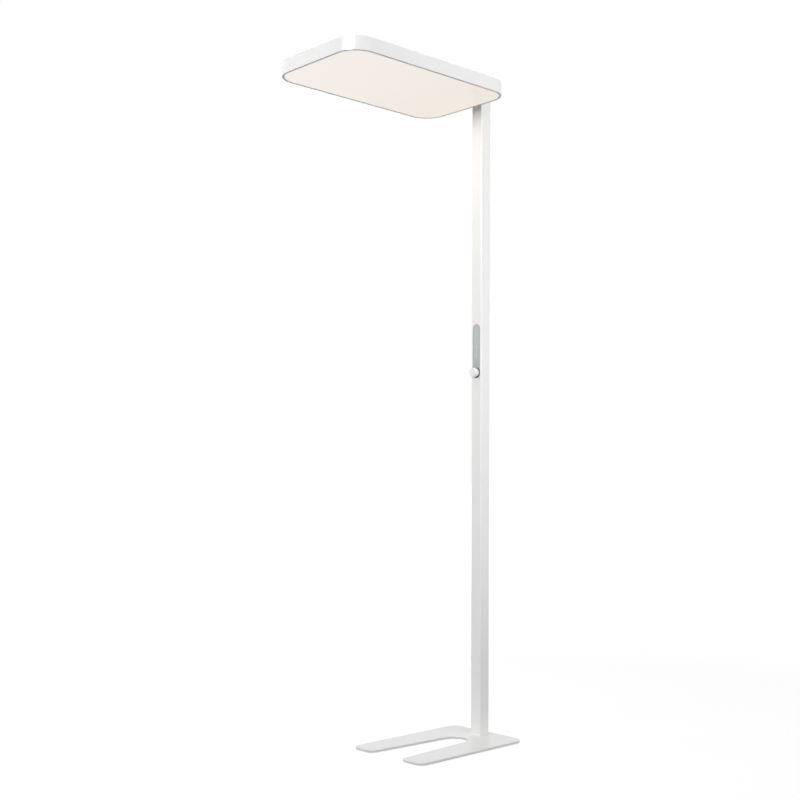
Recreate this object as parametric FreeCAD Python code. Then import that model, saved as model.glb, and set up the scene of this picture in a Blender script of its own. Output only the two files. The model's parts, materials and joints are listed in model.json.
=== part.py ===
"""Office floor lamp, as the separate pieces it is assembled from.

A U-shaped steel base plate stands round the leg of a desk. A square steel pole rises from it and
carries a recessed control panel with one knob, and a short arm holds the flat light head in front
of the pole. Millimetres. The origin is on the floor, on the axis of the pole. +X runs from the pole
to the tips of the prongs and of the head, and +Z is up.
"""
import FreeCAD, Part
import math
import os

Vector = FreeCAD.Vector

# Whole lamp
lamp_height = 1950.0            # floor to the top of the head
sliding_clearance = 0.2         # between pieces that drop into each other
thread_clearance = 0.05         # round a screw in its own hole
socket_share = 1.2              # screw's socket across its flats, to the screw's radius
socket_depth_share = 0.8        # of a countersunk head

# Base plate and what it stands on
base_width = 294.0
base_rear_reach = 40.0          # pole axis to the rear edge
base_front_reach = 396.0        # pole axis to the prong tips
base_thickness = 7.0
base_rear_radius = 33.0
prong_outer_radius = 26.0
prong_inner_radius = 19.0
slot_end = 72.5                 # pole axis to the round end of the slot
slot_radius = 42.0
slot_mouth_half_width = 62.5
plate_edge_round = 0.8
glide_radius = 11.0
glide_thickness = 2.0
glide_stand = 1.0               # how far the glides and the pad stand below the plate
glide_inset = 28.0              # glide centre to the nearest plate edges
foot_pad_radius = 26.0

# Pole
pole_side = 40.0
pole_wall = 2.0
pole_corner_radius = 3.0
pole_bore_radius = 1.0          # inner corners of the tube
cap_thickness = 2.0
cap_plug_depth = 3.0
cap_plug_wall = 1.8
cap_edge_round = 0.5
spigot_height = 60.0
block_height = 50.0             # block in the top of the pole
lead_way_width = 10.0           # slot for the lead in that block
lead_way_depth = 13.0
pole_screw_offset = 10.0        # either side of the pole's middle
spigot_screw_height = 40.0      # above the base plate
block_screw_drop = 35.0         # below the arm
pole_screw_length = 12.0
pole_screw_radius = 2.5
pole_screw_head_radius = 4.6

# Screws under the base plate
base_screw_radius = 3.0
base_screw_head_radius = 5.6
base_screw_length = 18.0
base_screw_offset = 9.0

# Cable gland in the rear of the pole
gland_rise = 22.0               # above the spigot
gland_bore_radius = 3.6
gland_thread_radius = 6.0
gland_stub_length = 8.0         # inside the pole
gland_flange_length = 2.5
gland_flange_flats = 17.0
gland_tail_length = 4.0         # thread that the dome screws onto
gland_seal_length = 2.5
gland_dome_radius = 8.4
gland_dome_length = 8.0
gland_dome_round = 1.5
gland_mouth_radius = 4.4
gland_nut_thickness = 3.0
gland_nut_flats = 17.0

# Control panel in the front of the pole
knob_height = 1125.0            # floor to the knob's axis, the centre of the panel's lower end
panel_width = 31.5
panel_length = 163.5
panel_recess = 0.8
panel_clearance = 0.15
carrier_gap = 0.1               # carrier to the pole's inner face
carrier_thickness = 2.5
carrier_width = 34.0
carrier_margin = 7.0            # beyond the ends of the panel
carrier_window_rim = 4.0
board_width = 30.0
board_thickness = 1.6
board_post_length = 4.0
board_post_radius = 2.6
board_post_offset = 12.0        # either side of the middle
board_post_margin = 2.5         # beyond the ends of the panel
board_margin = 5.0              # beyond the ends of the panel
board_screw_radius = 1.2
board_screw_head_radius = 2.2
board_screw_length = 5.0
dot_radius = 1.5
dot_flange_radius = 2.6
dot_flange_thickness = 1.0
dot_offsets = (36.0, 51.0, 77.0, 106.0)    # above the knob's axis
dot_led_side = 2.0
dot_led_height = 0.5
connector_rise = 62.0           # above the knob's axis
connector_length = 16.0
connector_width = 14.0
connector_depth = 8.0

# Encoder and knob
encoder_side = 13.0
encoder_floor = 1.5
encoder_roof = 1.0
rotor_radius = 5.0
rotor_thickness = 1.7
rotor_clearance = 0.3
bush_radius = 4.5
bush_stand = 1.5                # beyond the nut
encoder_nut_thickness = 2.0
encoder_nut_flats = 12.0
shaft_radius = 3.0
shaft_flat_depth = 0.8
shaft_clearance = 0.05
press_travel = 1.0
clip_thickness = 0.6
clip_radius = 4.6
clip_groove_depth = 0.5
seal_thickness = 0.6
seal_outer_radius = 15.2
seal_width = 2.6
knob_radius = 14.2
knob_root_radius = 12.2
knob_stand = 17.0               # beyond the pole's face
knob_flare_length = 6.0
knob_chamfer = 0.8
knob_front_wall = 3.0
knob_side_wall = 2.2
knob_hub_radius = 5.5
knob_running_gap = 0.4          # left when the knob is pressed home

# Light head
head_length = 603.0
head_width = 345.0
head_thickness = 37.0
head_corner_radius = 67.0
head_gap = 40.0                 # pole face to the head
head_edge_round = 1.0
frame_wall = 2.5
rim_width = 7.0                 # what shows round the diffuser, wall and bezel together
bezel_lip_thickness = 1.5
bezel_skirt_height = 8.0
bezel_skirt_wall = 1.2
diffuser_flange_thickness = 1.5
diffuser_recess = 0.4
guide_thickness = 3.0
guide_inset = 8.6               # head edge to the light guide
reflector_thickness = 0.5
pad_side = 30.0
pad_height = 3.0
pad_setback = 120.0             # pads from the ends of the head
pad_offset = 90.0
tray_thickness = 1.5
tray_skirt_wall = 1.2
boss_width = 12.0
boss_depth = 12.0
boss_screw_inset = 10.0         # head edge to the screws
long_boss_count = 3
end_boss_offset = 75.0
cover_thickness = 1.5
small_screw_radius = 1.5
small_screw_head_radius = 2.7
small_screw_length = 8.0
strip_thickness = 1.6
strip_height = 4.6
strip_led_length = 3.0
strip_led_thickness = 0.8
strip_led_height = 2.2
strip_led_pitch = 18.0

# Light upwards through the cover
window_length = 250.0
window_width = 200.0
window_setback = 70.0           # front edge of the head to the window
window_lap = 8.0
window_corner_radius = 8.0
window_thickness = 2.0
upboard_length = 220.0
upboard_width = 24.0
upboard_offset = 55.0
upboard_thickness = 1.6
upboard_led_side = 3.0
upboard_led_height = 0.8
upboard_led_pitch = 20.0

# Electronics in the head
driver_length = 150.0
driver_width = 42.0
driver_height = 17.0
driver_setback = 140.0          # rear edge of the head to the driver
driver_side_gap = 47.5          # side of the head to the driver's middle
driver_lug_length = 10.0
driver_lug_thickness = 2.0
driver_edge_round = 2.0
terminal_length = 24.0
terminal_width = 22.0
terminal_height = 15.5
terminal_gap = 10.0             # arm to the terminal block
standoff_radius = 3.5
standoff_offset = 118.0
standoff_setback = 100.0

# Arm between the pole and the head
arm_width = 28.0
arm_height = 12.0
arm_cap_gap = 0.3               # bolt heads on the arm to the cap's plug
arm_reach = 85.0                # inside the head
arm_clearance = 0.3
arm_groove_width = 8.0
arm_groove_depth = 7.0
arm_lid_thickness = 1.0
arm_bolt_offset = 9.0
arm_bolt_radius = 2.5
arm_bolt_head_radius = 4.6
arm_bolt_head_height = 2.7
arm_bolt_length = 26.0
arm_bolt_setback = 10.0         # bolts either side of the pole's axis
head_bolt_setback = 22.0        # first pair from the head's edge
head_bolt_pitch = 42.0
mount_block_width = 90.0
rivet_radius = 2.0
rivet_head_radius = 3.6
rivet_head_height = 1.2
rivet_offset = 38.0

# Leads held inside the lamp
supply_lead_diameter = 6.8
supply_bend_radius = 14.0
head_lead_diameter = 5.0
head_lead_bend_radius = 10.0
head_lead_jog_height = 45.0
head_lead_jog_gap = 25.0
small_lead_diameter = 4.0
small_lead_bend_radius = 12.0
supply_lead_gap = 1.0           # gland to the lead, room for a cord's end
uplight_lead_setback = 24.0     # driver's front end to its lead

# Levels and places that follow from the dimensions
pole_half = pole_side / 2
bore_half = pole_half - pole_wall
plug_half = bore_half - sliding_clearance
plate_bottom = glide_stand
base_top = plate_bottom + base_thickness
pole_top = lamp_height - cap_thickness
spigot_top = base_top + spigot_height
gland_height = spigot_top + gland_rise
arm_top = pole_top - cap_plug_depth - arm_bolt_head_height - arm_cap_gap
arm_bottom = arm_top - arm_height
block_bottom = arm_bottom - block_height

panel_half = panel_width / 2
panel_upper_centre = knob_height + panel_length - panel_width
panel_low = knob_height - panel_half
panel_high = panel_upper_centre + panel_half
panel_front = pole_half - panel_recess
carrier_front = bore_half - carrier_gap
carrier_back = carrier_front - carrier_thickness
board_front = carrier_back - board_post_length
board_back = board_front - board_thickness
connector_low = knob_height + connector_rise
connector_high = connector_low + connector_length
connector_middle = board_back - connector_depth / 2

bush_end = panel_front + encoder_nut_thickness + bush_stand
cavity_back = board_front + encoder_floor
cavity_front = carrier_front - encoder_roof
rotor_back = cavity_back + rotor_clearance
clip_front = cavity_front - rotor_clearance
shaft_tail = board_front + press_travel + rotor_clearance
knob_back = panel_front + seal_thickness + press_travel + knob_running_gap
knob_front = pole_half + knob_stand
knob_ceiling = knob_front - knob_front_wall
hub_back = bush_end + press_travel + knob_running_gap

head_rear = pole_half + head_gap
head_front = head_rear + head_length
head_bottom = lamp_height - head_thickness
head_half_width = head_width / 2
cover_seat = lamp_height - cover_thickness
flange_low = head_bottom + bezel_lip_thickness
flange_high = flange_low + diffuser_flange_thickness
guide_high = flange_high + guide_thickness
reflector_high = guide_high + reflector_thickness
tray_low = reflector_high + pad_height
tray_high = tray_low + tray_thickness
skirt_outer_inset = frame_wall + bezel_skirt_wall + 2 * sliding_clearance
skirt_inner_inset = skirt_outer_inset + tray_skirt_wall
arm_front = head_rear + arm_reach
lead_level = arm_top - arm_groove_depth + head_lead_diameter / 2
terminal_rear = arm_front + terminal_gap
window_front = head_front - window_setback
window_rear = window_front - window_length
driver_rear = head_rear + driver_setback
driver_front = driver_rear + driver_length
driver_offset = head_half_width - driver_side_gap
through = 5.0                   # how far a cut runs past what it cuts


# Shapes that several pieces use
def corner(before, point, after, radius):
    """Start, middle and end of the arc that rounds the corner at point."""
    to_before = (before - point).normalize()
    to_after = (after - point).normalize()
    half_angle = to_before.getAngle(to_after) / 2
    along = radius / math.tan(half_angle)
    inwards = (to_before + to_after).normalize()
    depth = radius / math.sin(half_angle) - radius
    return point + to_before * along, point + inwards * depth, point + to_after * along


def prism(arcs, sweep):
    """Solid swept along a vector from the outline made of the arcs and the lines between them."""
    edges = []
    for index, (start, middle, end) in enumerate(arcs):
        edges.append(Part.Arc(start, middle, end).toShape())
        following = arcs[(index + 1) % len(arcs)][0]
        if end.distanceToPoint(following) > Part.Precision.confusion():
            edges.append(Part.LineSegment(end, following).toShape())
    return Part.Face(Part.Wire(edges)).extrude(sweep)


def box(low_x, high_x, low_y, high_y, low_z, high_z):
    size = (high_x - low_x, high_y - low_y, high_z - low_z)
    return Part.makeBox(*size, Vector(low_x, low_y, low_z))


def rounded_box(low_x, high_x, low_y, high_y, low_z, high_z, radius):
    """Upright box whose four upright edges are round."""
    plan = ((low_x, low_y), (high_x, low_y), (high_x, high_y), (low_x, high_y))
    points = [Vector(x, y, low_z) for x, y in plan]
    arcs = [corner(points[i - 1], points[i], points[(i + 1) % 4], radius) for i in range(4)]
    return prism(arcs, Vector(0, 0, high_z - low_z))


def square_bar(half, low_z, high_z, radius):
    return rounded_box(-half, half, -half, half, low_z, high_z, radius)


def stadium(low_x, high_x, half_width):
    """Oblong with round ends that lies along the pole, about the panel's two end centres."""
    lower = (Vector(low_x, -half_width, knob_height), Vector(low_x, 0, knob_height - half_width),
             Vector(low_x, half_width, knob_height))
    upper = (Vector(low_x, half_width, panel_upper_centre),
             Vector(low_x, 0, panel_upper_centre + half_width),
             Vector(low_x, -half_width, panel_upper_centre))
    return prism([lower, upper], Vector(high_x - low_x, 0, 0))


def rod(start, end, radius):
    return Part.makeCylinder(radius, start.distanceToPoint(end), start, end - start)


def level_rod(low_x, high_x, radius, y, z):
    return rod(Vector(low_x, y, z), Vector(high_x, y, z), radius)


def post(low_z, high_z, radius, x, y):
    return rod(Vector(x, y, low_z), Vector(x, y, high_z), radius)


def hexagon(start, end, flats):
    """Six-sided bar between two points, measured across its flats."""
    axis = (end - start).normalize()
    side = Vector(0, 0, 1) if abs(axis.z) < abs(axis.x) else Vector(1, 0, 0)
    other = axis.cross(side)
    reach = flats / math.sqrt(3)
    angles = [math.radians(60 * step) for step in range(7)]
    points = [start + side * (reach * math.cos(a)) + other * (reach * math.sin(a)) for a in angles]
    return Part.Face(Part.makePolygon(points)).extrude(end - start)


def turned(profile, start):
    """Solid of revolution about the level line through start, from (distance, radius) pairs."""
    points = [start + Vector(x, 0, radius) for x, radius in profile]
    face = Part.Face(Part.makePolygon(points + points[:1]))
    return face.revolve(start, Vector(1, 0, 0), 360)


def countersunk(face, into, shank_radius, head_radius, length, grow=0.0):
    """Countersunk screw whose head lies flush at face, or with grow the hole that it needs."""
    sink = head_radius - shank_radius
    head = Part.makeCone(head_radius + grow, shank_radius + grow, sink, face, into)
    shank = rod(face, face + into * (length + grow), shank_radius + grow)
    screw = head.fuse(shank).removeSplitter()
    if grow:
        return screw
    bottom = face + into * (sink * socket_depth_share)
    return screw.cut(hexagon(face, bottom, shank_radius * socket_share))


def button_screw(seat, into, shank_radius, head_radius, head_height, length):
    """Screw with a domed head that sits on seat."""
    head = rod(seat - into * head_height, seat, head_radius)
    far_edges = [edge for edge in head.Edges if edge.CenterOfMass.distanceToPoint(seat) > head_height / 2
                 and edge.Curve.TypeId == "Part::GeomCircle"]
    head = head.makeFillet(head_height / 2, far_edges)
    screw = head.fuse(rod(seat, seat + into * length, shank_radius)).removeSplitter()
    top = seat - into * head_height
    return screw.cut(hexagon(top, top + into * (head_height / 2), shank_radius * socket_share))


def soften(solid, level, radius):
    """Rounds every edge that lies in the level plane."""
    edges = [edge for edge in solid.Edges
             if abs(edge.BoundBox.ZMin - level) < Part.Precision.confusion()
             and abs(edge.BoundBox.ZMax - level) < Part.Precision.confusion()]
    return solid.makeFillet(radius, edges)


def lead(points, diameter, bend_radius):
    """Round lead along straight runs joined by arcs."""
    edges = []
    place = points[0]
    for before, point, after in zip(points, points[1:], points[2:]):
        start, middle, end = corner(before, point, after, bend_radius)
        edges.append(Part.LineSegment(place, start).toShape())
        edges.append(Part.Arc(start, middle, end).toShape())
        place = end
    edges.append(Part.LineSegment(place, points[-1]).toShape())
    path = Part.Wire(edges)
    section = Part.Wire(Part.Circle(points[0], points[1] - points[0], diameter / 2).toShape())
    tube = path.makePipeShell([section], True, False)
    print("lead", round(path.Length), "mm, volume share", round(tube.Volume / (
        math.pi * diameter ** 2 / 4 * path.Length), 4))
    return tube


def cut_all(solid, cutters):
    return solid.cut(Part.makeCompound(list(cutters)))


# Base
def slot_tangent(side):
    """Point where the straight side of the slot leaves its round end."""
    centre_x = slot_end + slot_radius
    run = base_front_reach - centre_x
    reach = math.hypot(run, slot_mouth_half_width)
    angle = math.atan2(slot_mouth_half_width, run) + math.acos(slot_radius / reach)
    return Vector(centre_x + slot_radius * math.cos(angle), side * slot_radius * math.sin(angle),
                  plate_bottom)


def glide_places():
    front = base_front_reach - glide_inset
    prong_middle = (slot_mouth_half_width + base_width / 2) / 2
    rear = glide_inset - base_rear_reach
    rear_side = base_width / 2 - glide_inset
    return [(front, prong_middle), (front, -prong_middle), (rear, rear_side), (rear, -rear_side)]


def base_screws(grow=0.0):
    level = glide_thickness
    places = [(x, y) for x in (-base_screw_offset, base_screw_offset)
              for y in (-base_screw_offset, base_screw_offset)]
    return [countersunk(Vector(x, y, level), Vector(0, 0, 1), base_screw_radius,
                        base_screw_head_radius, base_screw_length, grow) for x, y in places]


def base_plate():
    half = base_width / 2
    rear_left = Vector(-base_rear_reach, -half, plate_bottom)
    rear_right = Vector(-base_rear_reach, half, plate_bottom)
    tip_left = Vector(base_front_reach, -half, plate_bottom)
    tip_right = Vector(base_front_reach, half, plate_bottom)
    mouth_left = Vector(base_front_reach, -slot_mouth_half_width, plate_bottom)
    mouth_right = Vector(base_front_reach, slot_mouth_half_width, plate_bottom)
    slot_left = slot_tangent(-1)
    slot_right = slot_tangent(1)
    arcs = [corner(rear_right, rear_left, tip_left, base_rear_radius),
            corner(rear_left, tip_left, mouth_left, prong_outer_radius),
            corner(tip_left, mouth_left, slot_left, prong_inner_radius),
            (slot_left, Vector(slot_end, 0, plate_bottom), slot_right),
            corner(slot_right, mouth_right, tip_right, prong_inner_radius),
            corner(mouth_right, tip_right, rear_right, prong_outer_radius),
            corner(tip_right, rear_right, rear_left, base_rear_radius)]
    plate = prism(arcs, Vector(0, 0, base_thickness))
    plate = soften(soften(plate, base_top, plate_edge_round), plate_bottom, plate_edge_round)
    recesses = [post(0, glide_thickness, glide_radius + sliding_clearance, x, y) for x, y in glide_places()]
    pad_recess = post(0, glide_thickness, foot_pad_radius + sliding_clearance, 0, 0)
    return cut_all(plate, recesses + [pad_recess] + base_screws(thread_clearance))


def base_glides():
    return Part.makeCompound([post(0, glide_thickness, glide_radius, x, y) for x, y in glide_places()])


def foot_pad():
    return post(0, glide_thickness, foot_pad_radius, 0, 0)


# Pole
def pole_screws(grow=0.0):
    levels = (base_top + spigot_screw_height, arm_bottom - block_screw_drop)
    places = [Vector(-pole_half, side * pole_screw_offset, level) for level in levels for side in (-1, 1)]
    return [countersunk(place, Vector(1, 0, 0), pole_screw_radius, pole_screw_head_radius,
                        pole_screw_length, grow) for place in places]


def arm_bolts_in_pole():
    return [Vector(x, y, arm_top) for x in (-arm_bolt_setback, arm_bolt_setback)
            for y in (-arm_bolt_offset, arm_bolt_offset)]


def pole_spigot():
    block = square_bar(plug_half, base_top, spigot_top, pole_bore_radius)
    return cut_all(block, base_screws(thread_clearance) + pole_screws(thread_clearance))


def pole_tube():
    outside = square_bar(pole_half, base_top, pole_top, pole_corner_radius)
    inside = square_bar(bore_half, base_top - through, pole_top + through, pole_bore_radius)
    panel_hole = stadium(bore_half - through, pole_half + through, panel_half)
    gland_hole = level_rod(-pole_half - through, -bore_half + through,
                           gland_thread_radius + thread_clearance, 0, gland_height)
    half_notch = arm_width / 2 + arm_clearance
    notch = box(0, pole_half + through, -half_notch, half_notch, arm_bottom - arm_clearance,
                pole_top + through)
    return cut_all(outside.cut(inside), [panel_hole, gland_hole, notch] + pole_screws(thread_clearance))


def pole_cap():
    plate = square_bar(pole_half, pole_top, lamp_height, pole_corner_radius)
    plate = soften(plate, lamp_height, cap_edge_round)
    plug_low = pole_top - cap_plug_depth
    hollow_half = plug_half - cap_plug_wall
    plug = square_bar(plug_half, plug_low, pole_top, pole_bore_radius)
    hollow = square_bar(hollow_half, plug_low - through, pole_top, pole_bore_radius)
    return plate.fuse(plug.cut(hollow)).removeSplitter()


def head_block():
    block = square_bar(plug_half, block_bottom, arm_bottom, pole_bore_radius)
    lead_way = box(-plug_half - through, -plug_half + lead_way_depth, -lead_way_width / 2,
                   lead_way_width / 2, block_bottom - through, arm_bottom + through)
    taps = [rod(place, place - Vector(0, 0, arm_bolt_length + thread_clearance),
                arm_bolt_radius + thread_clearance) for place in arm_bolts_in_pole()]
    return cut_all(block, [lead_way] + taps + pole_screws(thread_clearance))


# Cable gland, along the level line through its centre
gland_outer_face = -pole_half - gland_flange_length
gland_tail_end = gland_outer_face - gland_tail_length
gland_inner_end = -bore_half + gland_stub_length


def gland_body():
    body = level_rod(gland_tail_end, gland_inner_end, gland_thread_radius, 0, gland_height)
    flange = hexagon(Vector(gland_outer_face, 0, gland_height), Vector(-pole_half, 0, gland_height),
                     gland_flange_flats)
    bore = level_rod(gland_tail_end - through, gland_inner_end + through, gland_bore_radius, 0, gland_height)
    return body.fuse(flange).removeSplitter().cut(bore)


def gland_seal():
    end = gland_tail_end - gland_seal_length
    ring = level_rod(end, gland_tail_end, gland_thread_radius, 0, gland_height)
    return ring.cut(level_rod(end, gland_tail_end, gland_bore_radius, 0, gland_height))


def gland_dome():
    """Dome nut over the gland's tail and seal, with a wider mouth for the cord."""
    end = gland_outer_face - gland_dome_length
    room_end = gland_tail_end - gland_seal_length - thread_clearance
    dome = level_rod(end, gland_outer_face, gland_dome_radius, 0, gland_height)
    rim = [edge for edge in dome.Edges if abs(edge.BoundBox.XMax - end) < Part.Precision.confusion()]
    dome = dome.makeFillet(gland_dome_round, rim)
    room = level_rod(room_end, gland_outer_face + through, gland_thread_radius + thread_clearance, 0,
                     gland_height)
    mouth = level_rod(end - through, gland_outer_face, gland_mouth_radius, 0, gland_height)
    return dome.cut(room).cut(mouth)


def gland_nut():
    nut = hexagon(Vector(-bore_half, 0, gland_height),
                  Vector(-bore_half + gland_nut_thickness, 0, gland_height), gland_nut_flats)
    return nut.cut(level_rod(-pole_half, 0, gland_thread_radius + thread_clearance, 0, gland_height))


# Control panel
def dot_places():
    return [knob_height + offset for offset in dot_offsets]


def control_panel():
    panel = stadium(carrier_front, panel_front, panel_half - panel_clearance)
    holes = [level_rod(carrier_front - through, panel_front + through, dot_radius + thread_clearance, 0, z)
             for z in dot_places()]
    bush_hole = level_rod(carrier_front - through, panel_front + through, bush_radius + thread_clearance,
                          0, knob_height)
    return cut_all(panel, holes + [bush_hole])


def board_post_places():
    levels = (panel_low - board_post_margin, panel_high + board_post_margin)
    return [(side * board_post_offset, level) for level in levels for side in (-1, 1)]


def panel_carrier():
    half = carrier_width / 2
    frame = box(carrier_back, carrier_front, -half, half, panel_low - carrier_margin,
                panel_high + carrier_margin)
    window = stadium(carrier_back - through, carrier_front + through, panel_half - carrier_window_rim)
    posts = [level_rod(board_front, carrier_back, board_post_radius, y, z) for y, z in board_post_places()]
    carrier = frame.cut(window).multiFuse(posts).removeSplitter()
    taps = [level_rod(board_front - through, board_back + board_screw_length + thread_clearance,
                      board_screw_radius + thread_clearance, y, z) for y, z in board_post_places()]
    return cut_all(carrier, taps)


def control_board():
    half = board_width / 2
    board = box(board_back, board_front, -half, half, panel_low - board_margin,
                panel_high + board_margin)
    half_led = dot_led_side / 2
    leds = [box(board_front, board_front + dot_led_height, -half_led, half_led, z - half_led, z + half_led)
            for z in dot_places()]
    holes = [level_rod(board_back - through, board_front + through, board_screw_radius + thread_clearance,
                       y, z) for y, z in board_post_places()]
    return cut_all(board.multiFuse(leds), holes)


def board_screws():
    return Part.makeCompound([
        button_screw(Vector(board_back, y, z), Vector(1, 0, 0), board_screw_radius,
                     board_screw_head_radius, board_screw_radius, board_screw_length)
        for y, z in board_post_places()])


def indicator_pipes():
    pipes = []
    for z in dot_places():
        pipe = level_rod(board_front + dot_led_height, panel_front, dot_radius, 0, z)
        flange = level_rod(carrier_front - dot_flange_thickness, carrier_front, dot_flange_radius, 0, z)
        pipes.append(pipe.fuse(flange).removeSplitter())
    return Part.makeCompound(pipes)


def board_connector():
    half = connector_width / 2
    return box(board_back - connector_depth, board_back, -half, half, connector_low, connector_high)


# Encoder and knob, about the knob's axis
def knob_rod(low_x, high_x, radius):
    return level_rod(low_x, high_x, radius, 0, knob_height)


def flatted_rod(low_x, high_x, radius):
    """Round bar with one flat on its upper side."""
    flat = knob_height + radius - shaft_flat_depth
    return knob_rod(low_x, high_x, radius).cut(box(low_x, high_x, -radius, radius, flat, flat + radius))


def encoder_body():
    half = encoder_side / 2
    case = box(board_front, carrier_front, -half, half, knob_height - half, knob_height + half)
    bush = knob_rod(carrier_front, bush_end, bush_radius)
    cavity = knob_rod(cavity_back, cavity_front, rotor_radius + rotor_clearance)
    bore = knob_rod(board_front - through, bush_end + through, shaft_radius + shaft_clearance)
    return cut_all(case.fuse(bush), [cavity, bore])


def encoder_nut():
    nut = hexagon(Vector(panel_front, 0, knob_height),
                  Vector(panel_front + encoder_nut_thickness, 0, knob_height), encoder_nut_flats)
    return nut.cut(knob_rod(carrier_front, knob_front, bush_radius + thread_clearance))


def encoder_rotor():
    disc = knob_rod(rotor_back, rotor_back + rotor_thickness, rotor_radius)
    return disc.cut(flatted_rod(rotor_back, rotor_back + rotor_thickness, shaft_radius + shaft_clearance))


def encoder_shaft():
    shaft = flatted_rod(shaft_tail, knob_ceiling - thread_clearance, shaft_radius)
    clip_back = clip_front - clip_thickness
    groove = knob_rod(clip_back, clip_front, shaft_radius + through)
    core = knob_rod(clip_back, clip_front, shaft_radius - clip_groove_depth)
    return shaft.cut(groove.cut(core))


def shaft_clip():
    clip_back = clip_front - clip_thickness
    ring = knob_rod(clip_back, clip_front, clip_radius)
    return ring.cut(knob_rod(clip_back, clip_front, shaft_radius - clip_groove_depth))


def knob_seal():
    end = panel_front + seal_thickness
    ring = knob_rod(panel_front, end, seal_outer_radius)
    return ring.cut(knob_rod(panel_front, end, seal_outer_radius - seal_width))


def knob_cap():
    """Hollow cap that flares from its root to its rim, with a hub on the flatted shaft."""
    length = knob_front - knob_back
    outline = [(0, 0), (0, knob_root_radius), (knob_flare_length, knob_radius),
               (length - knob_chamfer, knob_radius), (length, knob_radius - knob_chamfer), (length, 0)]
    solid = turned(outline, Vector(knob_back, 0, knob_height))
    hollow = knob_rod(knob_back - through, knob_ceiling, knob_root_radius - knob_side_wall)
    hub = knob_rod(hub_back, knob_ceiling, knob_hub_radius)
    bore = flatted_rod(hub_back, knob_ceiling, shaft_radius + thread_clearance)
    return solid.cut(hollow.cut(hub)).cut(bore)


# Light head
def head_slab(inset, low_z, high_z):
    """Slab with the head's own outline, drawn in all round by inset."""
    return rounded_box(head_rear + inset, head_front - inset, inset - head_half_width,
                       head_half_width - inset, low_z, high_z, head_corner_radius - inset)


def boss_places():
    """Screw places on the bosses: long sides first, then the front and the rear end."""
    first = head_rear + head_corner_radius + boss_width
    last = head_front - head_corner_radius - boss_width
    step = (last - first) / (long_boss_count - 1)
    side = head_half_width - boss_screw_inset
    places = [(first + step * index, sign * side) for index in range(long_boss_count) for sign in (-1, 1)]
    places.append((head_front - boss_screw_inset, 0))
    for sign in (-1, 1):
        places.append((head_rear + boss_screw_inset, sign * end_boss_offset))
    return places


def boss(place):
    """Block on the inside of the frame's wall, round a screw place."""
    x, y = place
    half = boss_width / 2
    inner = boss_screw_inset - frame_wall
    inwards = boss_depth - inner
    low = tray_high
    if y > end_boss_offset:
        return box(x - half, x + half, y - inwards, y + inner, low, cover_seat)
    if y < -end_boss_offset:
        return box(x - half, x + half, y - inner, y + inwards, low, cover_seat)
    if y == 0:
        return box(x - inwards, x + inner, y - half, y + half, low, cover_seat)
    return box(x - inner, x + inwards, y - half, y + half, low, cover_seat)


def cover_screws(grow=0.0):
    return [countersunk(Vector(x, y, lamp_height), Vector(0, 0, -1), small_screw_radius,
                        small_screw_head_radius, small_screw_length, grow)
            for x, y in boss_places() + standoff_places()]


def tray_screw_taps():
    return [post(tray_low - through, tray_high + small_screw_length + thread_clearance,
                 small_screw_radius + thread_clearance, x, y) for x, y in boss_places()]


def arm_window(high_x):
    """Cut that lets the arm through the rear wall of the head."""
    half = arm_width / 2 + arm_clearance
    return box(head_rear - through, high_x, -half, half, arm_bottom - arm_clearance, arm_top + arm_clearance)


def head_frame():
    outside = head_slab(0, head_bottom, lamp_height)
    outside = soften(soften(outside, lamp_height, head_edge_round), head_bottom, head_edge_round)
    ring = outside.cut(head_slab(frame_wall, head_bottom - through, lamp_height + through))
    ring = ring.multiFuse([boss(place) for place in boss_places()]).removeSplitter()
    return cut_all(ring, cover_screws(thread_clearance) + tray_screw_taps()
                   + [arm_window(head_rear + frame_wall)])


def diffuser_bezel():
    outer = frame_wall + sliding_clearance
    lip = head_slab(outer, head_bottom, flange_low)
    lip = lip.cut(head_slab(rim_width, head_bottom - through, flange_low + through))
    skirt = head_slab(outer, flange_low, flange_low + bezel_skirt_height)
    skirt = skirt.cut(head_slab(outer + bezel_skirt_wall, flange_low, flange_low + bezel_skirt_height))
    return lip.fuse(skirt).removeSplitter()


def diffuser():
    flange = head_slab(skirt_outer_inset, flange_low, flange_high)
    field = head_slab(rim_width + sliding_clearance, head_bottom + diffuser_recess, flange_low)
    return flange.fuse(field).removeSplitter()


def light_guide():
    return head_slab(guide_inset, flange_high, guide_high)


def reflector_sheet():
    return head_slab(guide_inset, guide_high, reflector_high)


def guide_pads():
    half = pad_side / 2
    rows = (head_rear + pad_setback, (head_rear + head_front) / 2, head_front - pad_setback)
    return Part.makeCompound([box(x - half, x + half, y - half, y + half, reflector_high, tray_low)
                              for x in rows for y in (-pad_offset, pad_offset)])


def chassis_tray():
    plate = head_slab(skirt_outer_inset, tray_low, tray_high)
    skirt = head_slab(skirt_outer_inset, flange_high, tray_low)
    skirt = skirt.cut(head_slab(skirt_inner_inset, flange_high, tray_low))
    tray = plate.fuse(skirt).removeSplitter()
    standoff_holes = [post(tray_low - through, tray_high + through, small_screw_radius + thread_clearance,
                           x, y) for x, y in standoff_places()]
    bolt_holes = [post(tray_low - through, tray_high + through, arm_bolt_radius + thread_clearance, x, y)
                  for x, y in head_bolt_places()]
    return cut_all(tray, tray_screw_taps() + rivets(thread_clearance) + standoff_holes + bolt_holes)


def tray_screws():
    """Pan-head screws that hold the tray up against the bosses, and its standoffs from below."""
    length = tray_thickness + small_screw_length
    return Part.makeCompound([
        button_screw(Vector(x, y, tray_low), Vector(0, 0, 1), small_screw_radius,
                     small_screw_head_radius, small_screw_radius, length)
        for x, y in boss_places() + standoff_places()])


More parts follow.
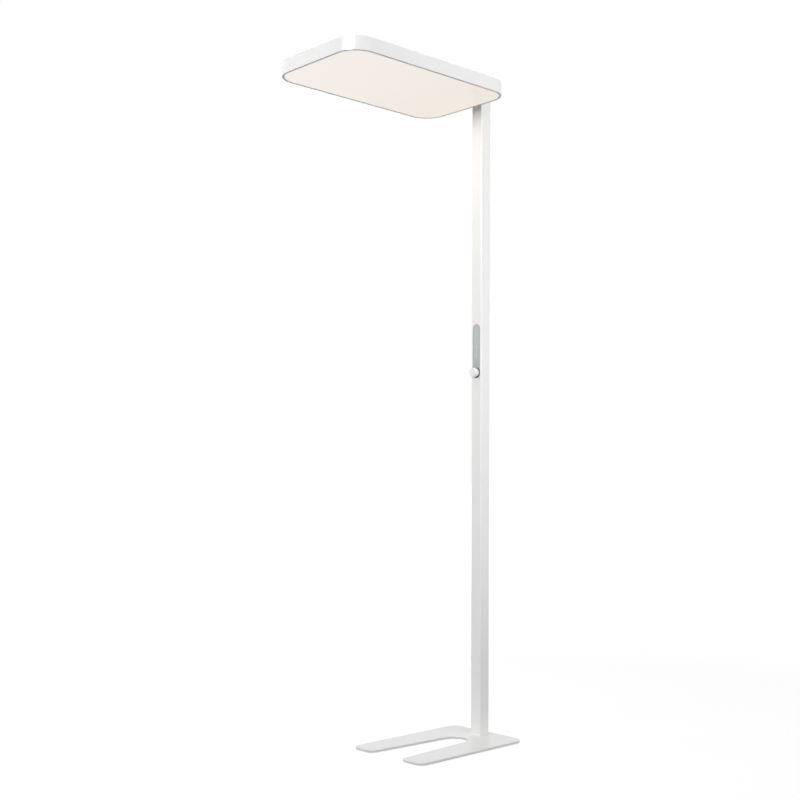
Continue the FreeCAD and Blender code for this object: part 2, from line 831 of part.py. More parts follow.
def edge_led_strips():
    """Upright boards inside the tray's long walls, with a row of chips that face the guide."""
    first = head_rear + head_corner_radius
    last = head_front - head_corner_radius
    count = int((last - first) // strip_led_pitch)
    middle = flange_high + guide_thickness / 2
    wall = head_half_width - skirt_inner_inset
    strips = []
    for side in (-1, 1):
        near, far = sorted((side * wall, side * (wall - strip_thickness)))
        board = box(first, last, near, far, flange_high, flange_high + strip_height)
        low_y, high_y = sorted((side * (wall - strip_thickness),
                                side * (wall - strip_thickness - strip_led_thickness)))
        chips = []
        for index in range(count):
            x = first + strip_led_pitch * (index + 0.5)
            chips.append(box(x - strip_led_length / 2, x + strip_led_length / 2, low_y, high_y,
                             middle - strip_led_height / 2, middle + strip_led_height / 2))
        strips.append(board.multiFuse(chips))
    return Part.makeCompound(strips)


def window_opening(lap, low_z, high_z):
    half = window_width / 2 + lap
    return rounded_box(window_rear - lap, window_front + lap, -half, half, low_z, high_z,
                       window_corner_radius + lap)


def top_cover():
    sheet = head_slab(frame_wall + sliding_clearance, cover_seat, lamp_height)
    opening = window_opening(0, cover_seat - through, lamp_height + through)
    return cut_all(sheet, cover_screws(thread_clearance) + [opening])


def uplight_window():
    """Clear plate under the cover, with a field that stands up into the opening."""
    plate = window_opening(window_lap, cover_seat - window_thickness, cover_seat)
    field = window_opening(-sliding_clearance, cover_seat, lamp_height)
    return plate.fuse(field).removeSplitter()


def uplight_boards():
    middle = (window_rear + window_front) / 2
    low_x = middle - upboard_length / 2
    chip_half = upboard_led_side / 2
    top = tray_high + upboard_thickness
    boards = []
    for side in (-1, 1):
        y = side * upboard_offset
        board = box(low_x, low_x + upboard_length, y - upboard_width / 2, y + upboard_width / 2,
                    tray_high, top)
        chips = []
        for index in range(int(upboard_length // upboard_led_pitch)):
            x = low_x + upboard_led_pitch * (index + 0.5)
            chips.append(box(x - chip_half, x + chip_half, y - chip_half, y + chip_half, top,
                             top + upboard_led_height))
        boards.append(board.multiFuse(chips))
    return Part.makeCompound(boards)


def standoff_places():
    rows = (head_rear + standoff_setback, head_front - standoff_setback)
    return [(x, side * standoff_offset) for x in rows for side in (-1, 1)]


def standoffs():
    posts = []
    for x, y in standoff_places():
        pillar = post(tray_high, cover_seat, standoff_radius, x, y)
        pillar = pillar.cut(post(tray_high, tray_high + small_screw_length + thread_clearance,
                                 small_screw_radius + thread_clearance, x, y))
        posts.append(cut_all(pillar, cover_screws(thread_clearance)))
    return Part.makeCompound(posts)


# Driver and terminal block, on the tray
def driver_screw_places():
    inset = driver_lug_length / 2
    return [(driver_rear - inset, -driver_offset), (driver_front + inset, -driver_offset)]


def led_driver():
    half = driver_width / 2
    top = tray_high + driver_height
    case = rounded_box(driver_rear, driver_front, -driver_offset - half, -driver_offset + half, tray_high,
                       top, driver_edge_round)
    case = soften(case, top, driver_edge_round / 2)
    lug = box(driver_rear - driver_lug_length, driver_front + driver_lug_length, -driver_offset - half,
              -driver_offset + half, tray_high, tray_high + driver_lug_thickness)
    holes = [post(tray_high - through, tray_high + through, small_screw_radius + thread_clearance, x, y)
             for x, y in driver_screw_places()]
    return cut_all(case.fuse(lug), holes)


def driver_screws():
    seat = tray_high + driver_lug_thickness
    return Part.makeCompound([
        button_screw(Vector(x, y, seat), Vector(0, 0, -1), small_screw_radius, small_screw_head_radius,
                     small_screw_radius, driver_lug_thickness)
        for x, y in driver_screw_places()])


def terminal_block():
    half = terminal_width / 2
    return box(terminal_rear, terminal_rear + terminal_length, -half, half, tray_high,
               tray_high + terminal_height)


# Arm, its bolts and the block that it is bolted to
def head_bolt_places():
    columns = (head_rear + head_bolt_setback, head_rear + head_bolt_setback + head_bolt_pitch)
    return [(x, side * arm_bolt_offset) for x in columns for side in (-1, 1)]


def neck_arm():
    half = arm_width / 2
    bar = box(-plug_half, arm_front, -half, half, arm_bottom, arm_top)
    groove_half = arm_groove_width / 2
    groove = box(-plug_half - through, arm_front + through, -groove_half, groove_half,
                 arm_top - arm_groove_depth, arm_top + through)
    lead_turn = box(-plug_half - through, 0, -groove_half, groove_half, arm_bottom - through, arm_top)
    holes = [post(arm_bottom - through, arm_top + through, arm_bolt_radius + thread_clearance, x, y)
             for x, y in head_bolt_places()]
    holes += [post(arm_bottom - through, arm_top + through, arm_bolt_radius + thread_clearance,
                   place.x, place.y) for place in arm_bolts_in_pole()]
    return cut_all(bar, [groove, lead_turn] + holes)


def arm_lid():
    """Strip that closes the groove between the pole and the head."""
    half = arm_groove_width / 2
    return box(pole_half, head_rear, -half, half, arm_top - arm_lid_thickness, arm_top)


def pole_arm_bolts():
    return Part.makeCompound([
        button_screw(place, Vector(0, 0, -1), arm_bolt_radius, arm_bolt_head_radius,
                     arm_bolt_head_height, arm_bolt_length) for place in arm_bolts_in_pole()])


def head_arm_bolts():
    length = arm_top - tray_low
    return Part.makeCompound([
        button_screw(Vector(x, y, arm_top), Vector(0, 0, -1), arm_bolt_radius, arm_bolt_head_radius,
                     arm_bolt_head_height, length) for x, y in head_bolt_places()])


def rivets(grow=0.0):
    columns = (head_rear + head_bolt_setback, head_rear + head_bolt_setback + head_bolt_pitch)
    places = [(x, side * rivet_offset) for x in columns for side in (-1, 1)]
    if grow:
        return [post(tray_low - through, arm_bottom + through, rivet_radius + grow, x, y)
                for x, y in places]
    return [post(tray_low, arm_bottom, rivet_radius, x, y).fuse(
        post(arm_bottom, arm_bottom + rivet_head_height, rivet_head_radius, x, y)).removeSplitter()
        for x, y in places]


def mount_block():
    """Stiff block between the tray and the arm."""
    half = mount_block_width / 2
    block = box(head_rear + skirt_inner_inset, arm_front, -half, half, tray_high, arm_bottom)
    holes = [post(tray_high - through, arm_bottom + through, arm_bolt_radius + thread_clearance, x, y)
             for x, y in head_bolt_places()]
    return cut_all(block, holes + rivets(thread_clearance))


# Leads
def supply_lead():
    start = Vector(gland_inner_end + supply_lead_gap, 0, gland_height)
    turn = Vector(connector_middle, 0, gland_height)
    return lead([start, turn, Vector(connector_middle, 0, connector_low)], supply_lead_diameter,
                supply_bend_radius)


def head_lead():
    way = -plug_half + lead_way_depth / 2
    jog_high = block_bottom - head_lead_jog_gap
    return lead([Vector(connector_middle, 0, connector_high),
                 Vector(connector_middle, 0, jog_high - head_lead_jog_height),
                 Vector(way, 0, jog_high),
                 Vector(way, 0, lead_level),
                 Vector(terminal_rear, 0, lead_level)], head_lead_diameter, head_lead_bend_radius)


def driver_lead():
    level = tray_high + driver_height / 2
    start_x = terminal_rear + terminal_length / 2
    return lead([Vector(start_x, -terminal_width / 2, level), Vector(start_x, -driver_offset, level),
                 Vector(driver_rear, -driver_offset, level)], small_lead_diameter, small_lead_bend_radius)


def uplight_lead():
    """From the driver's inner side to the rear end of the nearer board, along the tray."""
    level = tray_high + small_lead_diameter / 2
    start = Vector(driver_front - uplight_lead_setback, driver_width / 2 - driver_offset, level)
    turn = Vector(start.x, -upboard_offset, level)
    board_x = (window_rear + window_front - upboard_length) / 2
    return lead([start, turn, Vector(board_x, -upboard_offset, level)], small_lead_diameter,
                small_lead_bend_radius)


nodes = {
    "base_plate": base_plate(),
    "base_glides": base_glides(),
    "foot_pad": foot_pad(),
    "base_screws": Part.makeCompound(base_screws()),
    "pole_spigot": pole_spigot(),
    "pole_tube": pole_tube(),
    "pole_cap": pole_cap(),
    "pole_screws": Part.makeCompound(pole_screws()),
    "pole_head_block": head_block(),
    "gland_body": gland_body(),
    "gland_seal": gland_seal(),
    "gland_dome": gland_dome(),
    "gland_nut": gland_nut(),
    "control_panel": control_panel(),
    "panel_carrier": panel_carrier(),
    "control_board": control_board(),
    "board_screws": board_screws(),
    "board_connector": board_connector(),
    "indicator_pipes": indicator_pipes(),
    "encoder_body": encoder_body(),
    "encoder_nut": encoder_nut(),
    "encoder_rotor": encoder_rotor(),
    "encoder_shaft": encoder_shaft(),
    "shaft_clip": shaft_clip(),
    "knob_seal": knob_seal(),
    "knob_cap": knob_cap(),
    "neck_arm": neck_arm(),
    "arm_lid": arm_lid(),
    "pole_arm_bolts": pole_arm_bolts(),
    "head_arm_bolts": head_arm_bolts(),
    "mount_block": mount_block(),
    "mount_rivets": Part.makeCompound(rivets()),
    "head_frame": head_frame(),
    "diffuser_bezel": diffuser_bezel(),
    "diffuser": diffuser(),
    "light_guide": light_guide(),
    "reflector_sheet": reflector_sheet(),
    "guide_pads": guide_pads(),
    "edge_led_strips": edge_led_strips(),
    "chassis_tray": chassis_tray(),
    "tray_screws": tray_screws(),
    "standoffs": standoffs(),
    "top_cover": top_cover(),
    "cover_screws": Part.makeCompound(cover_screws()),
    "uplight_window": uplight_window(),
    "uplight_boards": uplight_boards(),
    "led_driver": led_driver(),
    "driver_screws": driver_screws(),
    "terminal_block": terminal_block(),
    "supply_lead": supply_lead(),
    "head_lead": head_lead(),
    "driver_lead": driver_lead(),
    "uplight_lead": uplight_lead(),
}

os.makedirs("parts", exist_ok=True)
for name, shape in nodes.items():
    print(name, len(shape.Solids), "solids", round(shape.Volume / 1000, 2), "cm3", shape.isValid())
    shape.exportStep("parts/" + name + ".step")
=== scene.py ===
# %% [markdown]
# # An office floor lamp, dressed for its portrait
# The lamp stands at the end of a desk: a U-shaped foot goes round the desk's leg, a square pole carries
# a small control panel with one knob, and a flat light head hangs over the desk. Its solids come from a
# CAD model. This lesson loads that model as a fixed frame, gives every piece its finish, rebuilds the
# pieces whose edges the eye rests on, and sets up the lights and the camera.

# %% Load the frame
import json
import math

import bpy
import numpy as np
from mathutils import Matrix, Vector


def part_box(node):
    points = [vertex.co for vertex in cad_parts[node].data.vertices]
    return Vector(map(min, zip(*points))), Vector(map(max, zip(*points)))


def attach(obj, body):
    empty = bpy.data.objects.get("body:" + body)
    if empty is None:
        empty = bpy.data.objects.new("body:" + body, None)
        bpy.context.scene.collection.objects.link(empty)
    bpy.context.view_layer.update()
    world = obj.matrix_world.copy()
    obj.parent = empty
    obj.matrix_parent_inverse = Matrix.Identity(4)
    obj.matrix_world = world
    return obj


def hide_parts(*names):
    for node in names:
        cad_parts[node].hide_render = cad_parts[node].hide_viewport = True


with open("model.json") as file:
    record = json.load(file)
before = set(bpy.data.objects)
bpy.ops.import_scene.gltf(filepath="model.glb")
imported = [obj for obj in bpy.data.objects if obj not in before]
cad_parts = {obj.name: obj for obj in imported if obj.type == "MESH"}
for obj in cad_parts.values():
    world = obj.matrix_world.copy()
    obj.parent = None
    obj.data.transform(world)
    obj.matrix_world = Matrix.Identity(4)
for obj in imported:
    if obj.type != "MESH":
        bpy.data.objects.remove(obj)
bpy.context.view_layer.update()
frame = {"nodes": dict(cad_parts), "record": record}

nodes = frame["nodes"]
mm = 0.001

# %% [markdown]
# ## The camera
# A normal lens more than three and a half metres from the pole keeps it nearly as wide at its foot as at
# its top. A photographer could tilt the camera up to fit in the head, but then the pole would lean in. A
# studio camera shifts its lens instead, and so does this one: `shift_y` slides the frame up. The camera
# itself looks down by little more than two degrees, so the pole stays almost straight.

# %% Camera
camera_place = Vector((2.6848, 2.5035, 0.8350))
camera_turn = math.radians(226.868)
camera_dip = math.radians(-2.295)
focal_pixels = 1188.05
frame_pixels = 800
shift_pixels = 115.2

camera_data = bpy.data.cameras.new("portrait_camera")
camera_data.sensor_width = 36.0
camera_data.lens = camera_data.sensor_width * focal_pixels / frame_pixels
camera_data.shift_y = shift_pixels / frame_pixels
camera = bpy.data.objects.new("portrait_camera", camera_data)
bpy.context.scene.collection.objects.link(camera)
camera.location = camera_place
camera.rotation_mode = "QUATERNION"
level = math.cos(camera_dip)
looking = Vector((level * math.cos(camera_turn), level * math.sin(camera_turn), math.sin(camera_dip)))
camera.rotation_quaternion = looking.to_track_quat("-Z", "Y")
bpy.context.scene.camera = camera
bpy.context.scene.view_settings.view_transform = "Standard"
print("lens of", round(camera_data.lens, 1), "mm, shift", round(camera_data.shift_y, 3))

# %% [markdown]
# ## Helpers for node trees
# A material is a small graph. Writing each node by hand hides the idea behind the typing, so two
# helpers do it: `add` makes a node and fills in its numbers, and `wire` draws the links.

# %% Node helpers
def add(tree, kind, **settings):
    """New node of a kind. A setting is a property of the node or else one of its input sockets."""
    node = tree.nodes.new("ShaderNode" + kind)
    for title, value in settings.items():
        if hasattr(node, title):
            setattr(node, title, value)
        else:
            node.inputs[title.replace("_", " ")].default_value = value
    return node


def wire(tree, *pairs):
    """Links outputs to inputs, each given as (node, socket name)."""
    for (source, output), (target, socket) in pairs:
        tree.links.new(source.outputs[output], target.inputs[socket])


def make_group(title, inputs, outputs):
    """Empty node group with named sockets, and the nodes at its two ends."""
    group = bpy.data.node_groups.new(title, "ShaderNodeTree")
    for socket_title, kind, value in inputs:
        socket = group.interface.new_socket(
            socket_title, in_out="INPUT", socket_type="NodeSocket" + kind)
        socket.default_value = value
    for socket_title, kind in outputs:
        group.interface.new_socket(socket_title, in_out="OUTPUT", socket_type="NodeSocket" + kind)
    return group, group.nodes.new("NodeGroupInput"), group.nodes.new("NodeGroupOutput")


# %% [markdown]
# ## Fine grain, the effect that most finishes share
# No real surface is one flat colour. A powder coat, a moulded plastic and a rubber pad all drift a
# little in tone over a few centimetres and have a grain a fraction of a millimetre across. It could be
# a picture wrapped round the piece, but a solid noise needs no unwrapping and has no seams: it is read
# at each point's place in the object. One group holds it, and each finish sets its own scales.

# %% Colour and gloss from noise
surface_sockets = [("Color", "Color"), ("Roughness", "Float"), ("Height", "Float")]


def shade_by(tree, noise, amount, enter, leave):
    """Wires a noise to the Color and Roughness that a group puts out.

    The noise is first moved from 0..1 to -1..1. The colour is scaled by 1 + noise * amount, where
    amount names one of the group's inputs, and the roughness becomes roughness + noise * spread.
    """
    centred = add(tree, "MapRange", clamp=False, To_Min=-1.0, To_Max=1.0)
    tone = add(tree, "Math", operation="MULTIPLY_ADD")
    tone.inputs[2].default_value = 1.0
    tint = add(tree, "VectorMath", operation="SCALE")
    gloss = add(tree, "Math", operation="MULTIPLY_ADD")
    wire(tree, ((noise, "Fac"), (centred, "Value")),
         ((centred, "Result"), (tone, 0)), ((enter, amount), (tone, 1)),
         ((enter, "Color"), (tint, "Vector")), ((tone, "Value"), (tint, "Scale")),
         ((centred, "Result"), (gloss, 0)), ((enter, "Roughness Spread"), (gloss, 1)),
         ((enter, "Roughness"), (gloss, 2)),
         ((tint, "Vector"), (leave, "Color")), ((gloss, "Value"), (leave, "Roughness")))


# %% Fine grain group
fine_grain, enter, leave = make_group("fine grain", [
    ("Color", "Color", (1, 1, 1, 1)), ("Mottle", "Float", 0.01), ("Mottle Scale", "Float", 20.0),
    ("Grain Scale", "Float", 1000.0), ("Roughness", "Float", 0.4), ("Roughness Spread", "Float", 0.03),
], surface_sockets)
place = add(fine_grain, "TexCoord")
drift = add(fine_grain, "TexNoise", Detail=3.0)
grain = add(fine_grain, "TexNoise", Detail=2.0)
wire(fine_grain,
     ((place, "Object"), (drift, "Vector")), ((place, "Object"), (grain, "Vector")),
     ((enter, "Mottle Scale"), (drift, "Scale")), ((enter, "Grain Scale"), (grain, "Scale")),
     ((grain, "Fac"), (leave, "Height")))
shade_by(fine_grain, drift, "Mottle", enter, leave)
print("group:", fine_grain.name)

# %% [markdown]
# ## Drawn grain, for bare metal
# Rolled sheet and turned screws carry fine lines in one direction. The same noise does it once its
# space is stretched: a scale that is high across the lines and low along them turns specks to streaks.

# %% Drawn grain group
drawn_grain, enter, leave = make_group("drawn grain", [
    ("Color", "Color", (1, 1, 1, 1)), ("Streak", "Float", 0.06), ("Stretch", "Vector", (1, 1, 1)),
    ("Roughness", "Float", 0.35), ("Roughness Spread", "Float", 0.06),
], surface_sockets)
place = add(drawn_grain, "TexCoord")
space = add(drawn_grain, "VectorMath", operation="MULTIPLY")
lines = add(drawn_grain, "TexNoise", Detail=4.0, Scale=1.0)
wire(drawn_grain,
     ((place, "Object"), (space, 0)), ((enter, "Stretch"), (space, 1)),
     ((space, "Vector"), (lines, "Vector")), ((lines, "Fac"), (leave, "Height")))
shade_by(drawn_grain, lines, "Streak", enter, leave)
print("group:", drawn_grain.name)

# %% [markdown]
# ## From group to finish
# The group only gives colours and values. The Principled BSDF stays in the material itself, with the
# numbers that are the same all over the piece on its own sockets, and a Bump node turns the height
# into a normal. `grain_depth` is the true depth of the grain in metres.

# %% Finish maker
def make_finish(title, group, grain_depth, plain=(), **group_inputs):
    """Material from a grain group, a bump of a real depth and plain numbers for the shader."""
    material = bpy.data.materials.new(title)
    material.use_nodes = True
    tree = material.node_tree
    shader = tree.nodes["Principled BSDF"]
    surface = tree.nodes.new("ShaderNodeGroup")
    surface.node_tree = group
    for socket, value in group_inputs.items():
        surface.inputs[socket.replace("_", " ")].default_value = value
    bump = add(tree, "Bump", Distance=grain_depth, Strength=1.0)
    for socket, value in dict(plain).items():
        shader.inputs[socket.replace("_", " ")].default_value = value
    wire(tree, ((surface, "Color"), (shader, "Base Color")),
         ((surface, "Roughness"), (shader, "Roughness")),
         ((surface, "Height"), (bump, "Height")), ((bump, "Normal"), (shader, "Normal")))
    return material


def opaque(red, green, blue):
    """Colour that hides what lies behind it."""
    return (red, green, blue, 1.0)


# %% [markdown]
# ## The white powder coat
# Base, pole and head share one satin white. Powder melts and flows in the oven, which leaves the soft
# dimples known as orange peel, here about 0.8 mm across and less than two thousandths of a millimetre
# deep. They are too small to see one by one and only soften the reflections. The head's coat is a little
# rougher than the coat on pole and base, which makes its corner highlight softer.

# %% White coats
white = opaque(0.885, 0.885, 0.88)
peel_depth = 1.5e-6
steel_coat = make_finish("steel_coat", fine_grain, peel_depth, Color=white, Mottle=0.006,
                         Mottle_Scale=9.0, Grain_Scale=1200.0, Roughness=0.24, Roughness_Spread=0.03)
head_coat = make_finish("head_coat", fine_grain, peel_depth, Color=white, Mottle=0.006,
                        Mottle_Scale=7.0, Grain_Scale=1200.0, Roughness=0.30, Roughness_Spread=0.03)
print("white coats:", steel_coat.name, head_coat.name)

# %% [markdown]
# ## Panel, knob, rubber and plastics
# The panel is a smooth grey-green moulding with a thin clear lacquer, so it gets a coat layer. The knob
# is a closer-grained white. Rubber and the nylon of the gland are matt with a coarse, shallow grain.

# %% Plastics and rubbers
panel_grey = make_finish("panel_grey", fine_grain, 2e-6, {"Coat Weight": 0.4, "Coat Roughness": 0.12},
                         Color=opaque(0.50, 0.545, 0.54), Mottle=0.012, Mottle_Scale=60.0,
                         Grain_Scale=2500.0, Roughness=0.35, Roughness_Spread=0.03)
knob_white = make_finish("knob_white", fine_grain, 2e-6, Color=opaque(0.88, 0.88, 0.875), Mottle=0.006,
                         Mottle_Scale=90.0, Grain_Scale=3000.0, Roughness=0.20, Roughness_Spread=0.03)
# The knob's seal wears this rubber, and there its near-black also stands for the shadow in the gap round
# the knob: painted shade.
dark_rubber = make_finish("dark_rubber", fine_grain, 2e-5, {"Specular IOR Level": 0.3},
                          Color=opaque(0.055, 0.057, 0.057), Mottle=0.15, Mottle_Scale=200.0,
                          Grain_Scale=1500.0, Roughness=0.65, Roughness_Spread=0.08)
gland_plastic = make_finish("gland_plastic", fine_grain, 1e-5, Color=opaque(0.78, 0.78, 0.77),
                            Mottle=0.02, Mottle_Scale=150.0, Grain_Scale=1800.0, Roughness=0.45,
                            Roughness_Spread=0.05)
black_plastic = make_finish("black_plastic", fine_grain, 1.5e-5, Color=opaque(0.045, 0.045, 0.05),
                            Mottle=0.08, Mottle_Scale=120.0, Grain_Scale=1600.0, Roughness=0.5,
                            Roughness_Spread=0.05)
film_white = make_finish("film_white", fine_grain, 5e-6, Color=opaque(0.9, 0.9, 0.9), Mottle=0.01,
                         Mottle_Scale=30.0, Grain_Scale=900.0, Roughness=0.6, Roughness_Spread=0.04)
foam = make_finish("foam", fine_grain, 3e-4, {"Specular IOR Level": 0.1},
                   Color=opaque(0.16, 0.16, 0.17), Mottle=0.25, Mottle_Scale=400.0, Grain_Scale=700.0,
                   Roughness=0.95, Roughness_Spread=0.03)
lead_sheath = make_finish("lead_sheath", fine_grain, 1e-5, Color=opaque(0.70, 0.70, 0.69), Mottle=0.02,
                          Mottle_Scale=80.0, Grain_Scale=900.0, Roughness=0.5, Roughness_Spread=0.05)
print("plastics, rubber and foam:", panel_grey.name, knob_white.name, dark_rubber.name,
      gland_plastic.name, black_plastic.name, film_white.name, foam.name, lead_sheath.name)

# %% [markdown]
# ## Painted shade on the panel
# The panel's colour turns greener and darker round its border and near the knob: painted shade for the
# shadow that the recess's edge and the knob cast on it. The border is a distance from the line between
# the centres of the panel's two round ends: a point's height is first clamped to that line, and what is
# left over is its distance.

# %% Panel shades
# Painted shade: the colour darkens towards the panel's border and towards its lower end near the knob.
panel_low, panel_high = 1.125, 1.257
border_start, border_end = 0.010, 0.0152
foot_start, foot_end = 1.185, 1.140
mix_first, mix_second, mixed = 6, 7, 2      # colour sockets of a Mix node, whose names aren't unique
painted_panel_shade, enter, leave = make_group("painted panel shade", [
    ("Middle Color", "Color", (1, 1, 1, 1)), ("Shaded Border Color", "Color", (1, 1, 1, 1)),
], [("Color", "Color")])
place = add(painted_panel_shade, "TexCoord")
axes = add(painted_panel_shade, "SeparateXYZ")
nearest = add(painted_panel_shade, "Clamp", Min=panel_low, Max=panel_high)
rise = add(painted_panel_shade, "Math", operation="SUBTRACT")
across = add(painted_panel_shade, "CombineXYZ")
distance = add(painted_panel_shade, "VectorMath", operation="LENGTH")
# Painted shade: darker near the edge, where the recess shades the panel, and low down, where the knob
# does.
border = add(painted_panel_shade, "MapRange", interpolation_type="SMOOTHSTEP",
             From_Min=border_start, From_Max=border_end)
foot = add(painted_panel_shade, "MapRange", interpolation_type="SMOOTHSTEP",
           From_Min=foot_start, From_Max=foot_end)
darker = add(painted_panel_shade, "Math", operation="MAXIMUM")
blend = add(painted_panel_shade, "Mix", data_type="RGBA")
wire(painted_panel_shade,
     ((place, "Object"), (axes, "Vector")), ((axes, "Z"), (nearest, "Value")),
     ((axes, "Z"), (rise, 0)), ((nearest, "Result"), (rise, 1)),
     ((axes, "Y"), (across, "X")), ((rise, "Value"), (across, "Y")),
     ((across, "Vector"), (distance, "Vector")),
     ((distance, "Value"), (border, "Value")), ((axes, "Z"), (foot, "Value")),
     ((border, "Result"), (darker, 0)), ((foot, "Result"), (darker, 1)),
     ((darker, "Value"), (blend, "Factor")), ((enter, "Middle Color"), (blend, mix_first)),
     ((enter, "Shaded Border Color"), (blend, mix_second)), ((blend, mixed), (leave, "Color")))


def paint_panel_shade():
    """Puts the panel's two colours, its middle and its painted shade at the border and near the knob, in
    front of its grain.
    """
    tree = panel_grey.node_tree
    grain_node = next(node for node in tree.nodes if node.type == "GROUP")
    shade = tree.nodes.new("ShaderNodeGroup")
    shade.node_tree = painted_panel_shade
    shade.inputs["Middle Color"].default_value = opaque(0.485, 0.525, 0.527)
    # Painted shade: the darker, greener border colour stands for the shadow of the recess's edge and of
    # the knob.
    shade.inputs["Shaded Border Color"].default_value = opaque(0.365, 0.42, 0.40)
    wire(tree, ((shade, "Color"), (grain_node, "Color")))


paint_panel_shade()
print("group:", painted_panel_shade.name)

# %% [markdown]
# ## Indicator lights
# Four light pipes end flush with the panel. The middle two are lit, so the lamp is at half power. One
# material serves all four: it shines between two heights and is dark outside them.

# %% Indicator lights
dark_below, lit_above = 1.165, 1.172
lit_below, dark_above = 1.205, 1.240
lit_strength = 0.30
lit_acrylic = make_finish("lit_acrylic", fine_grain, 1e-6,
                          {"IOR": 1.49, "Emission Color": opaque(1, 1, 1)},
                          Color=opaque(0.52, 0.56, 0.56), Mottle=0.004, Mottle_Scale=30.0,
                          Grain_Scale=1200.0, Roughness=0.15, Roughness_Spread=0.02)
lit_acrylic.cycles.emission_sampling = "NONE"
tree = lit_acrylic.node_tree
place = add(tree, "TexCoord")
axes = add(tree, "SeparateXYZ")
above = add(tree, "MapRange", interpolation_type="SMOOTHSTEP",
            From_Min=dark_below, From_Max=lit_above, To_Max=lit_strength)
below = add(tree, "MapRange", interpolation_type="SMOOTHSTEP",
            From_Min=dark_above, From_Max=lit_below)
lit = add(tree, "Math", operation="MULTIPLY")
wire(tree, ((place, "Object"), (axes, "Vector")), ((axes, "Z"), (above, "Value")),
     ((axes, "Z"), (below, "Value")), ((above, "Result"), (lit, 0)), ((below, "Result"), (lit, 1)),
     ((lit, "Value"), (tree.nodes["Principled BSDF"], "Emission Strength")))
print("light pipes shine from", lit_above, "to", lit_below, "m")

# %% [markdown]
# ## Metals and boards
# These are mostly hidden, but the model may be seen from all sides and taken apart, so they get their
# own finishes: streaked mill aluminium, zinc that is a little darker, and a solder mask that shows the
# weave of the board under it as small blotches.

# %% Metals and boards
bare_aluminium = make_finish("bare_aluminium", drawn_grain, 1e-5, {"Metallic": 1.0},
                             Color=opaque(0.77, 0.78, 0.79), Streak=0.08, Stretch=(8.0, 900.0, 900.0),
                             Roughness=0.38, Roughness_Spread=0.08)
zinc_steel = make_finish("zinc_steel", drawn_grain, 5e-6, {"Metallic": 1.0},
                         Color=opaque(0.66, 0.67, 0.68), Streak=0.10, Stretch=(500.0, 500.0, 60.0),
                         Roughness=0.32, Roughness_Spread=0.08)
board = make_finish("board", fine_grain, 8e-6, {"Coat Weight": 0.5, "Coat Roughness": 0.2},
                    Color=opaque(0.03, 0.16, 0.07), Mottle=0.3, Mottle_Scale=260.0, Grain_Scale=1500.0,
                    Roughness=0.4, Roughness_Spread=0.05)
led_board = make_finish("led_board", fine_grain, 6e-6, Color=opaque(0.88, 0.88, 0.84), Mottle=0.03,
                        Mottle_Scale=220.0, Grain_Scale=1500.0, Roughness=0.42, Roughness_Spread=0.05)
clear_acrylic = make_finish("clear_acrylic", fine_grain, 1e-6,
                            {"IOR": 1.49, "Transmission Weight": 0.6},
                            Color=opaque(0.93, 0.94, 0.94), Mottle=0.004, Mottle_Scale=30.0,
                            Grain_Scale=1200.0, Roughness=0.12, Roughness_Spread=0.02)
print("metals, boards and clear plastic:", bare_aluminium.name, zinc_steel.name, board.name,
      led_board.name, clear_acrylic.name)

# %% [markdown]
# ## The glowing plates
# The opal diffuser is lit from its edges and shines warm white, a little more neutral towards the front
# of the head and warmer towards the pole. The light itself comes from Emission, which must not be much
# above 1 or the plate clips to plain white and loses its colour. One group mixes two colours along the
# head and adds the fine prism texture that spreads the light. The plates aren't sampled as lamps: they
# lie so close behind the head's wall that the renderer would spend its samples there on light that never
# gets out, and the wall would turn grainy.

# %% Glow group
glow_field, enter, leave = make_group("glow field", [
    ("Rear Color", "Color", (1, 1, 1, 1)), ("Front Color", "Color", (1, 1, 1, 1)),
    ("Rear", "Float", 0.0), ("Front", "Float", 1.0), ("Prism Scale", "Float", 1500.0),
], [("Color", "Color"), ("Height", "Float")])
place = add(glow_field, "TexCoord")
axes = add(glow_field, "SeparateXYZ")
along = add(glow_field, "MapRange", interpolation_type="SMOOTHSTEP")
blend = add(glow_field, "Mix", data_type="RGBA")
prisms = add(glow_field, "TexVoronoi", distance="CHEBYCHEV", Randomness=0.0)
wire(glow_field,
     ((place, "Object"), (axes, "Vector")), ((axes, "X"), (along, "Value")),
     ((enter, "Rear"), (along, "From Min")), ((enter, "Front"), (along, "From Max")),
     ((along, "Result"), (blend, "Factor")),
     ((enter, "Rear Color"), (blend, mix_first)), ((enter, "Front Color"), (blend, mix_second)),
     ((blend, mixed), (leave, "Color")),
     ((place, "Object"), (prisms, "Vector")), ((enter, "Prism Scale"), (prisms, "Scale")),
     ((prisms, "Distance"), (leave, "Height")))
print("group:", glow_field.name)


# %% Glowing plates
def make_glow(title, base, strength, rear_colour, front_colour, rear, front):
    """Opal plate that shines in a colour that changes along the head."""
    material = bpy.data.materials.new(title)
    material.use_nodes = True
    material.cycles.emission_sampling = "NONE"
    tree = material.node_tree
    shader = tree.nodes["Principled BSDF"]
    shader.inputs["Base Color"].default_value = base
    shader.inputs["Roughness"].default_value = 0.45
    shader.inputs["Emission Strength"].default_value = strength
    field = tree.nodes.new("ShaderNodeGroup")
    field.node_tree = glow_field
    for socket, value in (("Rear Color", rear_colour), ("Front Color", front_colour),
                          ("Rear", rear), ("Front", front)):
        field.inputs[socket].default_value = value
    bump = add(tree, "Bump", Distance=5e-6, Strength=1.0)
    wire(tree, ((field, "Color"), (shader, "Emission Color")),
         ((field, "Height"), (bump, "Height")), ((bump, "Normal"), (shader, "Normal")))
    return material


